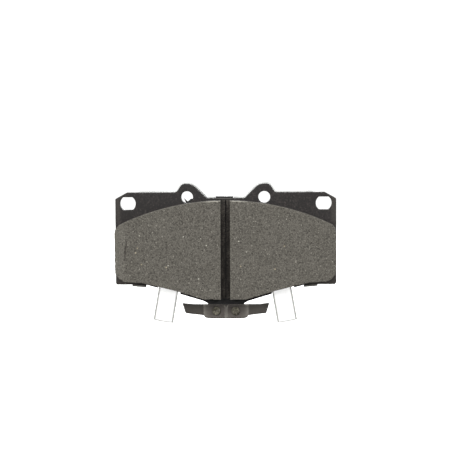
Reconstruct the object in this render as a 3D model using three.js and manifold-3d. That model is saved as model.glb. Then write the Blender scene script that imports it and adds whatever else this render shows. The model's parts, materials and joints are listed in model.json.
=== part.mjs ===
// Disc brake pad for a four-piston fixed caliper, built as its real layers: a steel backing plate,
// two friction blocks on an underlayer, a stack of anti-noise shims, peel-off liners over two
// adhesive strips, and two riveted spring leaves that warn of wear.
//
// Each piece is drawn in the pad's own plane: x along the pad, y towards the edge with the pin
// holes, and height out of the plate's back face towards the disc. The group then stands the pad
// up, so that the friction faces look along -Y and the two pin holes lie at Z = 0. Millimetres.

import * as THREE from 'three';
import { mergeVertices } from 'three/addons/utils/BufferGeometryUtils.js';
import Module from 'manifold-3d';

const wasm = await Module();
wasm.setup();

// ---------- driving dimensions ----------

// heights above the plate's back face
const PLATE = 6.0;
const UNDERLAYER_TOP = PLATE + 2.0;
const FRICTION_TOP = UNDERLAYER_TOP + 8.7;
const INNER_SHIM_BACK = -0.4;
const OUTER_SHIM_BACK = INNER_SHIM_BACK - 0.5;
const RUBBER_BACK = OUTER_SHIM_BACK - 0.5;
const ADHESIVE_BACK = OUTER_SHIM_BACK - 0.2;
const LINER_BACK = ADHESIVE_BACK - 0.2;

// backing plate
const PLATE_HALF = 61.2;
const EAR_TOP = 32.3;
const HUMP_TOP = 37.1;
const VALLEY = 29.1;
const PLATE_END = -18.85;
const NECK_HALF = 9.95;
const NECK_END = -36.7;
const LEDGE = 1.1;

// holes in the plate
const PIN_X = 54.3;
const PIN_Y = 26.2;
const PIN_RADIUS = 4.4;
const PIN_HALF_HEIGHT = 3.55;
const HUMP_X = 21.4;
const HUMP_Y = 29.65;
const HUMP_HOLE = 3.3;
const RETENTION_HOLES = [[18, 6], [42, 0]];
const RETENTION_RADIUS = 4.5;
const RIVET_X = 5.3;
const RIVET_Y = -33.5;
const RIVET_HOLE = 1.6;

// friction blocks and their underlayer
const ARC_RADIUS = 136;
const ARC_TOP = 28.16;
const FRICTION_HALF = 61.1;
const FRICTION_END = -16.45;
const FRICTION_HEEL = -17.2;
const FRICTION_BOTTOM = -26.5;
const SLOT_HALF = 2.5;
const UNDERLAYER_SPLIT = 0.3;
const CHAMFER_LENGTH = 6.3;
const CHAMFER_DROP = 0.5;
const PLUG_CLEARANCE = 0.1;

// shims; the outer one and all that it carries sit a little off the plate's middle, within the
// play of its hooks
const SHIM_SHIFT = -0.7;
const SHIM_PROUD = 0.6;
const SHIM_INSET = 1.7;
const SHIM_SHOULDER = 49;
const SHIM_HALF = 57.5;
const SHIM_HOLE = 4.3;
const OUTER_STEP = 0.9;
const RUBBER_STEP = 1.6;
const HOOK_SHEET = 0.5;
const END_HOOK_FRONT = 3.5;
const TOP_HOOK_HALF = 4.75;
const HOOK_GAP = 0.4;
const END_HOOK_LIP = 0.95;
const LIP_GAP = 0.2;
const LIP_DROP = 0.55;
const RELIEF_GAP = 0.4;
const END_HOOK = { from: 43.9, to: 51.6, low: -20.3, tilt: THREE.MathUtils.degToRad(5) };

// adhesive strips and their release liners, measured along the strip from its free end
const STRIP_FOOT = [34.67, -40.0];
const STRIP_TILT = THREE.MathUtils.degToRad(9.8);
const LINER_WIDTH = 11.2;
const LINER_LENGTH = 59;
const TAB_LENGTH = 15.9;
const TAB_GAP = 0.3;
const ADHESIVE_WIDTH = 10.2;
const ADHESIVE_FROM = 20.5;
const ADHESIVE_TO = 57;
const WINDOW_WIDTH = 12.2;
const WINDOW_FROM = 9;
const WINDOW_TO = 60;

// wear leaves
const LEAF = 0.8;
const LEAF_TOP = -29.65;
const LEAF_BOTTOM = -37.7;
const LEAF_SPLIT = 0.15;
const LEAF_CORNER = 2.9;
const BEND_X = 12.4;
const BEND_GAP = 0.3;
const WING_RISE = THREE.MathUtils.degToRad(22);
const WING = {
  rootTop: -29.5,
  rootEnd: -36.1,
  tipTop: -28.65,
  tipEnd: -34.5,
  longEdge: 12.8,
  shortEdge: 10.8,
};

// rivets
const RIVET_SHANK = 1.5;
const RIVET_HEAD = 2.5;
const RIVET_HEAD_HEIGHT = 0.9;
const RIVET_DIMPLE = 0.35;
const RIVET_STEPS = 24;

// how far a chord may lie inside its arc
const SAGITTA = 0.03;

// ---------- outlines ----------

// Points along an arc, with a step that keeps every chord within SAGITTA of it.
function arcPoints(cx, cy, radius, from, to) {
  const step = 2 * Math.acos(1 - SAGITTA / radius);
  const count = Math.max(2, Math.ceil(Math.abs(to - from) / step));
  return Array.from({ length: count + 1 }, (_, i) => {
    const angle = from + ((to - from) * i) / count;
    return [cx + radius * Math.cos(angle), cy + radius * Math.sin(angle)];
  });
}

// The outline through corners [x, y, radius], with each corner rounded to its radius.
function rounded(corners) {
  const points = [];
  corners.forEach(([x, y, radius = 0], i) => {
    const before = corners[(i + corners.length - 1) % corners.length];
    const after = corners[(i + 1) % corners.length];
    const into = new THREE.Vector2(x - before[0], y - before[1]).normalize();
    const away = new THREE.Vector2(after[0] - x, after[1] - y).normalize();
    const turn = Math.atan2(into.cross(away), into.dot(away));
    if (!radius || Math.abs(turn) < 1e-3) {
      points.push([x, y]);
      return;
    }
    const side = Math.sign(turn);
    const tangent = radius * Math.tan(Math.abs(turn) / 2);
    const cx = x - into.x * tangent - into.y * radius * side;
    const cy = y - into.y * tangent + into.x * radius * side;
    const start = Math.atan2(-into.x * side, into.y * side);
    points.push(...arcPoints(cx, cy, radius, start, start + turn));
  });
  return points;
}

// A right half, listed from the top centre to the bottom centre, followed by its mirror image.
function mirrored(half) {
  const left = half.filter(([x]) => x > 0).reverse();
  return half.concat(left.map(([x, y, radius]) => [-x, y, radius]));
}

// The clockwise corners moved outwards by a distance, negative to move them in.
function offset(corners, distance) {
  return corners.map(([x, y, radius = 0], i) => {
    const before = corners[(i + corners.length - 1) % corners.length];
    const after = corners[(i + 1) % corners.length];
    const into = new THREE.Vector2(x - before[0], y - before[1]).normalize();
    const away = new THREE.Vector2(after[0] - x, after[1] - y).normalize();
    const miter = new THREE.Vector2(-into.y - away.y, into.x + away.x).normalize();
    const reach = distance / (-into.y * miter.x + into.x * miter.y);
    const grown = into.cross(away) < 0 ? radius + distance : radius - distance;
    return [x + miter.x * reach, y + miter.y * reach, radius ? Math.max(grown, 0.2) : 0];
  });
}

function circle(cx, cy, radius) {
  return arcPoints(cx, cy, radius, 0, 2 * Math.PI).slice(0, -1);
}

// A round hole with its top and bottom cut flat, for a pin that must not turn.
function doubleFlat(cx, cy, radius, halfHeight) {
  const angle = Math.asin(halfHeight / radius);
  return [
    ...arcPoints(cx, cy, radius, -angle, angle),
    ...arcPoints(cx, cy, radius, Math.PI - angle, Math.PI + angle),
  ];
}

function bothSides(x, make) {
  return [make(-x), make(x)];
}

// ---------- solids ----------

function pathOf(points, Kind) {
  return new Kind(points.map(([x, y]) => new THREE.Vector2(x, y)));
}

// A flat piece between two heights, from an outline and its holes.
function sheet(points, low, high, holes = []) {
  const shape = pathOf(points, THREE.Shape);
  shape.holes = holes.map((hole) => pathOf(hole, THREE.Path));
  const geometry = new THREE.ExtrudeGeometry(shape, { depth: high - low, bevelEnabled: false });
  return geometry.translate(0, 0, low);
}

function box(x0, x1, y0, y1, low, high) {
  return sheet([[x0, y0], [x1, y0], [x1, y1], [x0, y1]], low, high);
}

function solid(geometry) {
  const bare = geometry.clone();
  bare.deleteAttribute('normal');
  bare.deleteAttribute('uv');
  const merged = mergeVertices(bare);
  return new wasm.Manifold(new wasm.Mesh({
    numProp: 3,
    vertProperties: merged.attributes.position.array,
    triVerts: new Uint32Array(merged.index.array),
  }));
}

function geometryOf(manifold) {
  const made = manifold.getMesh();
  const geometry = new THREE.BufferGeometry();
  geometry.setAttribute('position', new THREE.BufferAttribute(made.vertProperties, 3));
  geometry.setIndex(new THREE.BufferAttribute(made.triVerts, 1));
  const faceted = geometry.toNonIndexed();
  faceted.computeVertexNormals();
  return faceted;
}

function joined(first, ...others) {
  return geometryOf(others.reduce((sum, next) => sum.add(solid(next)), solid(first)));
}

function cut(first, ...tools) {
  return geometryOf(tools.reduce((left, tool) => left.subtract(solid(tool)), solid(first)));
}

// ---------- backing plate ----------

// The strip's centre line on one side: a point at a distance along it and beside it.
function stripPoint(side, along, beside) {
  const x = STRIP_FOOT[0] - Math.sin(STRIP_TILT) * along + Math.cos(STRIP_TILT) * beside;
  const y = STRIP_FOOT[1] + Math.cos(STRIP_TILT) * along + Math.sin(STRIP_TILT) * beside;
  return [side * x + SHIM_SHIFT, y];
}

function stripRectangle(side, from, to, width, low, high) {
  const corners = [[from, -1], [from, 1], [to, 1], [to, -1]].map(
    ([along, edge]) => stripPoint(side, along, (edge * width) / 2),
  );
  return sheet(corners, low, high);
}

// The plate's top edge, from the centre of the valley over a hump to the ear.
const TOP_CORNERS = [
  [0, VALLEY],
  [10.5, VALLEY, 2],
  [18.65, HUMP_TOP, 7],
  [24.2, HUMP_TOP, 3.2],
  [27.3, EAR_TOP, 2.2],
];

// The plate's sloping lower edge, from the pad's end towards its middle.
const LOWER_EDGE = [
  [44.5, PLATE_END, 12],
  [26.4, -23.85, 60],
  [12.2, -28.1, 0.5],
];

function lowerEdge(x) {
  const bend = LOWER_EDGE[1];
  const next = x > bend[0] ? LOWER_EDGE[0] : LOWER_EDGE[2];
  return bend[1] + ((next[1] - bend[1]) * (x - bend[0])) / (next[0] - bend[0]);
}

// A shallow relief in the lower edge, as wide as the liner that passes it.
function reliefCorners() {
  const half = LINER_WIDTH / 2 + 0.5;
  const centre = STRIP_FOOT[0] - Math.tan(STRIP_TILT) * (lowerEdge(31.6) - STRIP_FOOT[1]);
  const lean = Math.tan(STRIP_TILT) * LEDGE;
  return [
    [centre + half, lowerEdge(centre + half), 0.3],
    [centre + half - lean, lowerEdge(centre + half) + LEDGE, 0.6],
    [centre - half - lean, lowerEdge(centre - half) + LEDGE, 0.6],
    [centre - half, lowerEdge(centre - half), 0.3],
  ];
}

function backingPlate() {
  const half = [
    ...TOP_CORNERS,
    [54.9, EAR_TOP, 0.8],
    [PLATE_HALF, 28.8, 0.8],
    [PLATE_HALF, PLATE_END, 1.3],
    LOWER_EDGE[0],
    ...reliefCorners(),
    LOWER_EDGE[2],
    [NECK_HALF, -29.4, 0.8],
    [NECK_HALF, NECK_END, 1.5],
    [0, NECK_END],
  ];
  const holes = [
    ...bothSides(PIN_X, (x) => doubleFlat(x, PIN_Y, PIN_RADIUS, PIN_HALF_HEIGHT)),
    ...bothSides(HUMP_X, (x) => circle(x, HUMP_Y, HUMP_HOLE)),
    ...bothSides(RIVET_X, (x) => circle(x, RIVET_Y, RIVET_HOLE)),
    ...RETENTION_HOLES.flatMap(([x, y]) => bothSides(x, (at) => circle(at, y, RETENTION_RADIUS))),
  ];
  return sheet(rounded(mirrored(half)), 0, PLATE, holes);
}

// ---------- friction blocks ----------

function arcHeight(x) {
  return ARC_TOP - ARC_RADIUS + Math.sqrt(ARC_RADIUS ** 2 - x ** 2);
}

// One side's block outline, from an inner edge at x = inner out to the pad's end.
function blockOutline(side, inner) {
  const steps = 12;
  const last = FRICTION_HALF - 7;
  const arc = Array.from({ length: steps + 1 }, (_, i) => {
    const x = inner + ((last - inner) * i) / steps;
    return [x, arcHeight(x)];
  });
  const corners = [
    ...arc,
    [FRICTION_HALF, arcHeight(FRICTION_HALF), 5.8],
    [FRICTION_HALF, FRICTION_END, 7.2],
    [46, FRICTION_HEEL, 12],
    [28, -21.45, 60],
    [11.4, FRICTION_BOTTOM, 1.8],
    [inner, FRICTION_BOTTOM],
  ];
  return rounded(corners).map(([x, y]) => [side * x, y]);
}

function frictionBlock(side) {
  const block = sheet(blockOutline(side, SLOT_HALF), UNDERLAYER_TOP, FRICTION_TOP);
  const end = FRICTION_HALF + 1;
  const slope = CHAMFER_DROP / CHAMFER_LENGTH;
  const wedge = sheet(
    [
      [FRICTION_HALF - CHAMFER_LENGTH, FRICTION_TOP],
      [end, FRICTION_TOP - slope * (CHAMFER_LENGTH + 1)],
      [end, FRICTION_TOP + 1],
      [FRICTION_HALF - CHAMFER_LENGTH, FRICTION_TOP + 1],
    ].map(([x, height]) => [side * x, height]),
    -40,
    40,
  );
  return cut(block, wedge.rotateX(Math.PI / 2));
}

// The softer layer under the block, with the plugs that key it into the plate.
function underlayer(side) {
  const plugs = RETENTION_HOLES.map(([x, y]) =>
    sheet(circle(side * x, y, RETENTION_RADIUS - PLUG_CLEARANCE), 0, PLATE + 0.5));
  return joined(sheet(blockOutline(side, UNDERLAYER_SPLIT), PLATE, UNDERLAYER_TOP), ...plugs);
}

// ---------- shims ----------

// A shim's corners: the plate's top edge moved out by proud, then a waist that clears the pin ears.
function shimCorners(proud, inset) {
  const top = offset([...TOP_CORNERS, [54.9, EAR_TOP]], proud).slice(1, -1);
  const low = offset([[60, PLATE_END], ...LOWER_EDGE, [9, -29]], -inset).slice(1, -1);
  const step = SHIM_INSET - inset;
  return [
    ...top,
    [SHIM_SHOULDER + step, EAR_TOP + proud, 1.5],
    [SHIM_SHOULDER + step, 20, 3],
    [SHIM_HALF + step, 14.5, 2],
    [SHIM_HALF + step, PLATE_END + inset, 2],
    ...low,
    [0, low[low.length - 1][1]],
  ];
}

function shimHoles(extra) {
  return bothSides(HUMP_X, (x) => circle(x, HUMP_Y, SHIM_HOLE + extra));
}

// The bright shim against the plate, relieved near the middle for the outer shim's top hook.
function innerShim() {
  const half = [[0, VALLEY + SHIM_PROUD], ...shimCorners(SHIM_PROUD, SHIM_INSET)];
  const body = sheet(rounded(mirrored(half)), INNER_SHIM_BACK, 0, shimHoles(0));
  const reach = TOP_HOOK_HALF + RELIEF_GAP;
  const relief = box(SHIM_SHIFT - reach, SHIM_SHIFT + reach, VALLEY - RELIEF_GAP, HUMP_TOP, -1, 1);
  return cut(body, relief);
}

// One side's end hook: a tail on the shim, a band forward under the plate's edge and a lip at its end.
function endHook(side) {
  const { from, to, low, tilt } = END_HOOK;
  const pivot = new THREE.Vector2((from + to) / 2, low);
  const band = (height, back, front) => {
    const corners = [[from, low], [to, low], [to, low + height], [from, low + height]];
    const turned = corners.map(([x, y]) => new THREE.Vector2(x, y).rotateAround(pivot, tilt));
    return sheet(turned.map(({ x, y }) => [side * x, y]), back, front);
  };
  return [
    band(5, OUTER_SHIM_BACK, INNER_SHIM_BACK),
    band(HOOK_SHEET, OUTER_SHIM_BACK, END_HOOK_FRONT),
    band(END_HOOK_LIP, END_HOOK_FRONT - HOOK_SHEET, END_HOOK_FRONT),
  ];
}

// The top hook: a tail on the shim, a band over the valley and a lip down the plate's face.
function topHook() {
  const low = VALLEY + HOOK_GAP;
  const high = low + HOOK_SHEET;
  const lip = PLATE + LIP_GAP;
  const band = (bottom, top, back, front) =>
    box(-TOP_HOOK_HALF, TOP_HOOK_HALF, bottom, top, back, front);
  return [
    band(VALLEY - 2, high, OUTER_SHIM_BACK, INNER_SHIM_BACK),
    band(low, high, OUTER_SHIM_BACK, lip + HOOK_SHEET),
    band(VALLEY - LIP_DROP, high, lip, lip + HOOK_SHEET),
  ];
}

// The coated steel shim, with one hook over the valley and one near each end of the lower edge.
function outerShim() {
  const body = sheet(
    rounded(mirrored([[0, VALLEY - 0.3], ...shimCorners(-0.3, SHIM_INSET + OUTER_STEP)])),
    OUTER_SHIM_BACK,
    INNER_SHIM_BACK,
    shimHoles(0.2),
  );
  const shim = joined(body, ...topHook(), ...endHook(-1), ...endHook(1));
  return shim.translate(SHIM_SHIFT, 0, 0);
}

// The rubber layer bonded to the outer shim, open where the adhesive strips lie.
function rubberLayer() {
  const layer = sheet(
    rounded(mirrored([[0, VALLEY - 1], ...shimCorners(-1, SHIM_INSET + RUBBER_STEP)])),
    RUBBER_BACK,
    OUTER_SHIM_BACK,
    shimHoles(0.6),
  ).translate(SHIM_SHIFT, 0, 0);
  const windows = [-1, 1].map((side) =>
    stripRectangle(side, WINDOW_FROM, WINDOW_TO, WINDOW_WIDTH, RUBBER_BACK - 1, OUTER_SHIM_BACK + 0.1));
  return cut(layer, ...windows);
}

// ---------- adhesive and liners ----------

function adhesiveStrip(side) {
  return stripRectangle(side, ADHESIVE_FROM, ADHESIVE_TO, ADHESIVE_WIDTH, ADHESIVE_BACK, OUTER_SHIM_BACK);
}

function releaseLiner(side) {
  return stripRectangle(side, TAB_LENGTH + TAB_GAP, LINER_LENGTH, LINER_WIDTH, LINER_BACK, ADHESIVE_BACK);
}

function pullTab(side) {
  return stripRectangle(side, 0, TAB_LENGTH, LINER_WIDTH, LINER_BACK, ADHESIVE_BACK);
}

// ---------- wear leaves and rivets ----------

function leafRoot(side) {
  const corners = [
    [LEAF_SPLIT, LEAF_TOP, LEAF_CORNER],
    [BEND_X, LEAF_TOP, 0.3],
    [BEND_X, LEAF_BOTTOM, 2.6],
    [LEAF_SPLIT, LEAF_BOTTOM, 0.3],
  ];
  const outline = rounded(corners).map(([x, y]) => [side * x, y]);
  return sheet(outline, PLATE, PLATE + LEAF, [circle(side * RIVET_X, RIVET_Y, RIVET_HOLE)]);
}

// The wing is drawn flat from the bend outwards, then raised towards the disc.
function leafWing(side) {
  const { rootTop, rootEnd, tipTop, tipEnd, longEdge, shortEdge } = WING;
  const corners = [
    [BEND_GAP, rootTop],
    [longEdge, tipTop, 0.5],
    [shortEdge, tipEnd, 0.9],
    [BEND_GAP, rootEnd],
  ];
  const outline = rounded(corners).map(([x, y]) => [side * x, y]);
  const wing = sheet(outline, -LEAF / 2, LEAF / 2);
  return wing.rotateY(-side * WING_RISE).translate(side * BEND_X, 0, PLATE + LEAF / 2);
}

// A solid rivet: a dimpled head on the leaf, a shank through the plate and a formed head behind.
function rivet() {
  const top = PLATE + LEAF;
  const profile = [
    [0, -RIVET_HEAD_HEIGHT],
    [RIVET_HEAD * 0.7, -RIVET_HEAD_HEIGHT],
    [RIVET_HEAD, -RIVET_HEAD_HEIGHT * 0.4],
    [RIVET_HEAD, 0],
    [RIVET_SHANK, 0],
    [RIVET_SHANK, top],
    [RIVET_HEAD, top],
    [RIVET_HEAD, top + RIVET_HEAD_HEIGHT * 0.4],
    [RIVET_HEAD * 0.75, top + RIVET_HEAD_HEIGHT],
    [RIVET_HEAD * 0.4, top + RIVET_HEAD_HEIGHT],
    [0, top + RIVET_HEAD_HEIGHT - RIVET_DIMPLE],
  ].map(([x, y]) => new THREE.Vector2(x, y));
  return new THREE.LatheGeometry(profile, RIVET_STEPS).rotateX(Math.PI / 2);
}

// ---------- the assembly ----------

const FINISH = {
  plate: { color: 0x3b3735, roughness: 0.6, metalness: 0.3 },
  friction: { color: 0x69665e, roughness: 0.95, metalness: 0 },
  underlayer: { color: 0x3a3733, roughness: 0.95, metalness: 0 },
  stainless: { color: 0xd4d5d2, roughness: 0.25, metalness: 1 },
  coated: { color: 0x24211f, roughness: 0.5, metalness: 0.4 },
  rubber: { color: 0x1d1c1b, roughness: 0.85, metalness: 0 },
  adhesive: { color: 0xc9c2a4, roughness: 0.3, metalness: 0 },
  liner: { color: 0xfbfbf8, roughness: 0.6, metalness: 0 },
  spring: { color: 0x5b5552, roughness: 0.4, metalness: 0.8 },
  rivet: { color: 0x7d7860, roughness: 0.4, metalness: 0.8 },
};

const SIDES = [['left', -1], ['right', 1]];

const pad = new THREE.Group();
pad.rotation.x = Math.PI / 2;
pad.position.z = -PIN_Y;

function place(name, geometry, finish) {
  const mesh = new THREE.Mesh(geometry, new THREE.MeshStandardMaterial(FINISH[finish]));
  mesh.name = name;
  pad.add(mesh);
  return mesh;
}

place('backing_plate', backingPlate(), 'plate');
place('inner_shim', innerShim(), 'stainless');
place('outer_shim', outerShim(), 'coated');
place('shim_rubber_layer', rubberLayer(), 'rubber');
for (const [name, side] of SIDES) {
  place(`underlayer_${name}`, underlayer(side), 'underlayer');
  place(`friction_block_${name}`, frictionBlock(side), 'friction');
  place(`adhesive_strip_${name}`, adhesiveStrip(side), 'adhesive');
  place(`release_liner_${name}`, releaseLiner(side), 'liner');
  place(`pull_tab_${name}`, pullTab(side), 'liner');
  place(`wear_leaf_${name}`, leafRoot(side), 'spring');
  place(`wear_wing_${name}`, leafWing(side), 'spring');
  place(`rivet_${name}`, rivet(), 'rivet').position.set(side * RIVET_X, RIVET_Y, 0);
}

const part = new THREE.Group();
part.add(pad);

export default part;
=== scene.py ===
# Looks for a disc brake pad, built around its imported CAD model.
#
# X runs along the pad, Z towards the pin holes, and the friction faces look along -Y. The back of
# the steel plate lies on Y = 0. Shapes are worked out in millimetres and turned into metres when
# their mesh is made.

import json
import math

import bmesh
import bpy
import numpy as np
from mathutils import Matrix, Quaternion, Vector, geometry, noise


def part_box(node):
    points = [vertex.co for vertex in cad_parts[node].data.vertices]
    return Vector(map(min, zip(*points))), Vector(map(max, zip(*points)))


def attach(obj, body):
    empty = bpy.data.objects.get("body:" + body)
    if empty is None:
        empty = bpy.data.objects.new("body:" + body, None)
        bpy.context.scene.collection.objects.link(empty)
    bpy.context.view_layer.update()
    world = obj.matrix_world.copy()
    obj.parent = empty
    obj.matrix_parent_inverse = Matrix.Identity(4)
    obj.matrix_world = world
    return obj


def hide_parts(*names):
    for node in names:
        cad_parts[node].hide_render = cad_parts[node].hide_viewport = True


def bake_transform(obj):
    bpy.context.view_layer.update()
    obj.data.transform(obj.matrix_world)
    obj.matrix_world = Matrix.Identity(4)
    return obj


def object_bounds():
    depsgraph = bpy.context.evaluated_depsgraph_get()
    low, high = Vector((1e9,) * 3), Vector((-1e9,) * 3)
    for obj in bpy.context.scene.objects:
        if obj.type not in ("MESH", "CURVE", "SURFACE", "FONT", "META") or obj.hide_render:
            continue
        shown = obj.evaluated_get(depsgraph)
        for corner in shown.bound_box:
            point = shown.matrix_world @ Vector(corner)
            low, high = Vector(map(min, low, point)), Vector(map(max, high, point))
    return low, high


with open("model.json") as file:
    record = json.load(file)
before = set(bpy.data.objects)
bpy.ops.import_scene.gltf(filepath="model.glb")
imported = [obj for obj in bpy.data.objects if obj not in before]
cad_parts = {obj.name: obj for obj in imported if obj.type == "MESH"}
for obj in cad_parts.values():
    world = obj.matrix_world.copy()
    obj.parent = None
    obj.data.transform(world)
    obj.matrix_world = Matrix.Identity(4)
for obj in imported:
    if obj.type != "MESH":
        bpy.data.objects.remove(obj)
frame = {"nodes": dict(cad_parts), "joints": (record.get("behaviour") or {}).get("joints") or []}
cad_low, cad_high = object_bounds()

MM = 0.001
JOINTS = {joint["name"]: joint for joint in frame["joints"]}
SIDES = (("left", -1), ("right", 1))

# what lies nearer the pad's middle than this belongs to the slot between the friction blocks
SLOT_SIDE = 3


# ---------- measuring the frame ----------

MERGE_DISTANCE = 1e-3


def box_mm(node):
    low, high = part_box(node)
    return low / MM, high / MM


def node_mesh(node):
    """A copy of a CAD node's mesh in millimetres, with its shared corners merged."""
    bm = bmesh.new()
    bm.from_mesh(frame["nodes"][node].data)
    bmesh.ops.scale(bm, vec=(1 / MM,) * 3, verts=bm.verts)
    bmesh.ops.remove_doubles(bm, verts=bm.verts, dist=MERGE_DISTANCE)
    return bm


def face_outlines(node, y):
    """The closed outlines (x, z) of a node's flat face at depth y, largest first.

    Each outline has the solid on its left.
    """
    bm = node_mesh(node)
    bm.normal_update()
    flat = [f for f in bm.faces
            if abs(f.normal.y) > 0.9999 and abs(f.calc_center_median().y - y) < 0.01]
    members = set(flat)
    follow = {}
    for face in flat:
        for loop in face.loops:
            if all(other is face or other not in members for other in loop.edge.link_faces):
                start, end = loop.vert, loop.link_loop_next.vert
                if face.normal.y > 0:
                    start, end = end, start
                follow[start] = end
    outlines = []
    while follow:
        start, vert = follow.popitem()
        outline = [start]
        while vert is not start:
            outline.append(vert)
            vert = follow.pop(vert)
        outlines.append(without_straight_points([Vector((v.co.x, v.co.z)) for v in outline]))
    bm.free()
    return sorted(outlines, key=lambda outline: -abs(area(outline)))


def area(outline):
    """The area inside an outline, negative where it runs clockwise."""
    return sum(a.cross(b) for a, b in zip(outline, outline[1:] + outline[:1])) / 2


def neighbours(outline):
    """Each point of a closed outline between the points before and after it."""
    return zip(outline[-1:] + outline[:-1], outline, outline[1:] + outline[:1])


def turn_between(into, away):
    """The angle between two directions, positive anticlockwise."""
    return math.atan2(into.cross(away), into.dot(away))


def without_straight_points(outline):
    return [here for before, here, after in neighbours(outline)
            if abs(turn_between(here - before, after - here)) > 1e-4]


# ---------- outlines ----------

SHARP_CORNER = math.radians(25)
FINE_TURN = math.radians(4)
STRAIGHT_RATIO = 2.5


def directions(outline):
    """The outline's direction just before and just after each point; they differ only at corners."""
    found = []
    for before, here, after in neighbours(outline):
        into, away = here - before, after - here
        turn = turn_between(into, away)
        if abs(turn) > SHARP_CORNER:
            found.append((into.normalized(), away.normalized()))
            continue
        if into.length > STRAIGHT_RATIO * away.length:
            share = 0
        elif away.length > STRAIGHT_RATIO * into.length:
            share = 1
        else:
            share = into.length / (into.length + away.length)
        tangent = Matrix.Rotation(turn * share, 2) @ into.normalized()
        found.append((tangent, tangent))
    return found


def refined(outline, spacing=None):
    """The outline with its arcs drawn finely, and with points no further apart than spacing."""
    tangents = directions(outline)
    points = []
    for i, start in enumerate(outline):
        end = outline[(i + 1) % len(outline)]
        leave, arrive = tangents[i][1], tangents[(i + 1) % len(outline)][0]
        length = (end - start).length
        steps = max(1, math.ceil(abs(turn_between(leave, arrive)) / FINE_TURN))
        if spacing:
            steps = max(steps, math.ceil(length / spacing))
        for k in range(steps):
            t = k / steps
            points.append(
                (2 * t**3 - 3 * t**2 + 1) * start + (t**3 - 2 * t**2 + t) * length * leave
                + (3 * t**2 - 2 * t**3) * end + (t**3 - t**2) * length * arrive
            )
    return points


def rounded(corners):
    """The outline through corners (x, z, radius), anticlockwise, with each corner rounded."""
    outline = []
    for before, here, after in neighbours(list(corners)):
        point = Vector(here[:2])
        into = (point - Vector(before[:2])).normalized()
        away = (Vector(after[:2]) - point).normalized()
        turn = turn_between(into, away)
        if not here[2] or abs(turn) < 1e-3:
            outline.append(point)
            continue
        steps = max(2, math.ceil(abs(turn) / FINE_TURN / 2))
        reach = here[2] * math.tan(abs(turn) / 2)
        start, end = point - into * reach, point + away * reach
        for k in range(steps + 1):
            t = k / steps
            outline.append((1 - t) ** 2 * start + 2 * t * (1 - t) * point + t**2 * end)
    return outline


def inward(outline):
    """The way into the solid at each point, as long as it takes to move both its edges by 1."""
    ways = []
    for before, here, after in neighbours(outline):
        into, away = (here - before).normalized(), (after - here).normalized()
        way = Vector((-into.y - away.y, into.x + away.x)).normalized()
        ways.append(way / max(0.6, way.dot(Vector((-away.y, away.x)))))
    return ways


def inset(outline, distance):
    return [point + way * distance for point, way in zip(outline, inward(outline))]


UNFOLDING_ROUNDS = 20
LEAST_EDGE_LEFT = 0.15
SHORTENING = 0.85


def unfolded(outline, depths):
    """The ways into the solid, shortened where moving in by depths would fold the outline over."""
    ways = inward(outline)
    count = len(outline)
    for _ in range(UNFOLDING_ROUNDS):
        moved = [p + w * depth for p, w, depth in zip(outline, ways, depths)]
        folded = []
        for i in range(count):
            k = (i + 1) % count
            edge = outline[k] - outline[i]
            if edge.dot(moved[k] - moved[i]) < LEAST_EDGE_LEFT * edge.length_squared:
                folded.append(i)
        if not folded:
            break
        for i in folded:
            for k in range(i - 2, i + 4):
                ways[k % count] = ways[k % count] * SHORTENING
    return ways


def inside(points, outline):
    """Which rows of an array of points lie inside a closed outline."""
    found = np.zeros(len(points), bool)
    x, z = points[:, 0], points[:, 1]
    for a, b in zip(outline, outline[1:] + outline[:1]):
        if a.y == b.y:
            continue
        crosses = (a.y > z) != (b.y > z)
        found ^= crosses & (x < (b.x - a.x) * (z - a.y) / (b.y - a.y) + a.x)
    return found


def scattered(outline, spacing, seed):
    """Points on a jittered triangular grid inside an outline, a little away from its edge."""
    draw = np.random.default_rng(seed)
    xs, zs = [p.x for p in outline], [p.y for p in outline]
    rows = np.arange(min(zs), max(zs), spacing * math.sqrt(3) / 2)
    columns = np.arange(min(xs), max(xs), spacing)
    grid = np.array([(x + (r % 2) * spacing / 2, z) for r, z in enumerate(rows) for x in columns])
    grid += draw.uniform(-0.22, 0.22, grid.shape) * spacing
    return grid[inside(grid, inset(outline, spacing / 2))]


# ---------- meshes ----------

def ring(bm, points):
    """A closed ring of new vertices, not joined to anything yet."""
    return [bm.verts.new(point) for point in points]


def bridge(bm, first, second):
    """A smooth band of faces between two closed rings with equally many points."""
    count = len(first)
    for i in range(count):
        k = (i + 1) % count
        bm.faces.new((first[i], first[k], second[k], second[i])).smooth = True


def cap(bm, rings, inner=(), smooth=False):
    """Fills the face bounded by rings of vertices, through extra inner vertices."""
    verts, edges = [], []
    for loop in rings:
        start = len(verts)
        edges += [(start + i, start + (i + 1) % len(loop)) for i in range(len(loop))]
        verts += loop
    verts += inner
    flat = [Vector((v.co.x, v.co.z)) for v in verts]
    _, _, faces, origin, _, _ = geometry.delaunay_2d_cdt(flat, edges, [], 1, 1e-7)
    corners = [[verts[origin[i][0]] for i in face] for face in faces]
    middles = np.array([sum((v.co for v in face), Vector()) / 3 for face in corners])[:, [0, 2]]
    open_space = np.zeros(len(corners), bool)
    for loop in rings[1:]:
        open_space |= inside(middles, [Vector((v.co.x, v.co.z)) for v in loop])
    for face, opened in zip(corners, open_space):
        if not opened:
            bm.faces.new(face).smooth = smooth


def fillet(front, back, front_radius, back_radius, steps=4):
    """(inset, y) pairs that run from the front face, round both edges, to the back face."""
    quarter = [math.pi / 2 * k / steps for k in range(steps + 1)]
    return (
        [(front_radius * (1 - math.sin(a)), front + front_radius * (1 - math.cos(a))) for a in quarter]
        + [(back_radius * (1 - math.cos(a)), back - back_radius * (1 - math.sin(a))) for a in quarter]
    )


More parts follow.
